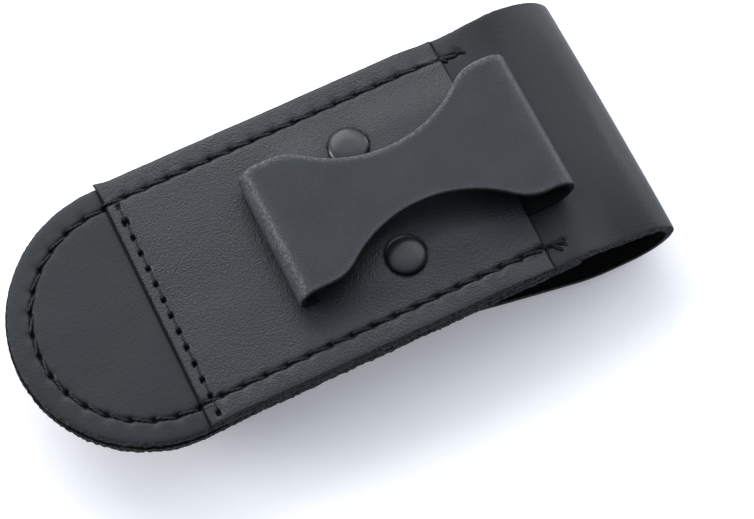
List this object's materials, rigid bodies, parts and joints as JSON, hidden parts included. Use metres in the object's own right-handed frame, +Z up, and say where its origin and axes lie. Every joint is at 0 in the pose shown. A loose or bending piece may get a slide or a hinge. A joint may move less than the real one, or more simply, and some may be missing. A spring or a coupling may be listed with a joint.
{
  "type": "multi tool belt sheath",
  "caption": "Black leather belt sheath for a multi tool, with a fold-over snap flap and a sprung bow-tie steel belt clip riveted under a stitched leather patch.",
  "frame": {"origin": "middle of the bounding box at the surface that the sheath rests on, lying on its front", "axes": "+Z up, away from the pocket, towards the belt clip; +X along the sheath from the rounded bottom to the mouth and fold; +Y across it"},
  "size_m": [0.1272, 0.054, 0.0299],
  "materials": {
    "strap_leather": "smooth black, matte",
    "front_leather": "smooth black, moulded",
    "patch_leather": "fine pebble grain, black",
    "clip_steel": "black powder coat, fine texture",
    "rivet_black": "black lacquer, satin",
    "snap_black": "black lacquer, satin",
    "snap_steel": "nickel plated",
    "snap_spring_steel": "bright wire",
    "thread": "twisted, waxed black"
  },
  "bodies": {
    "root": {"back_panel": "strap_leather", "pocket_front": "front_leather", "clip_patch": "patch_leather", "clip_base": "clip_steel", "rivet_left_cap": "rivet_black", "rivet_right_cap": "rivet_black", "rivet_left_post": "rivet_black", "rivet_right_post": "rivet_black", "snap_stud": "snap_steel", "snap_post": "snap_steel", "seam_needle_thread": "thread", "seam_bobbin_thread": "thread", "row_needle_thread": "thread", "row_bobbin_thread": "thread"},
    "fold": {"flap_fold": "strap_leather"},
    "flap": {"flap": "strap_leather", "snap_cap": "snap_black", "snap_socket": "snap_steel", "snap_spring": "snap_spring_steel"},
    "clip_arm": {"clip_arm": "clip_steel"}
  },
  "joints": [
    {"name": "fold_bend", "type": "hinge", "parent": "root", "child": "fold", "pos_m": [0.0598, 0, 0.01775], "axis": [0, -1, 0], "range_deg": [0, 95]},
    {"name": "flap_bend", "type": "hinge", "parent": "fold", "child": "flap", "pos_m": [0.0598, 0, 0.00294], "axis": [0, -1, 0], "range_deg": [0, 95]},
    {"name": "clip_flex", "type": "hinge", "parent": "root", "child": "clip_arm", "pos_m": [0.04655, 0, 0.0251], "axis": [0, 1, 0], "range_deg": [0, 8], "stiffness_Nm_per_rad": 4}
  ],
  "couplings": [
    {"joint": "flap_bend", "follows": "fold_bend", "ratio": 1}
  ]
}
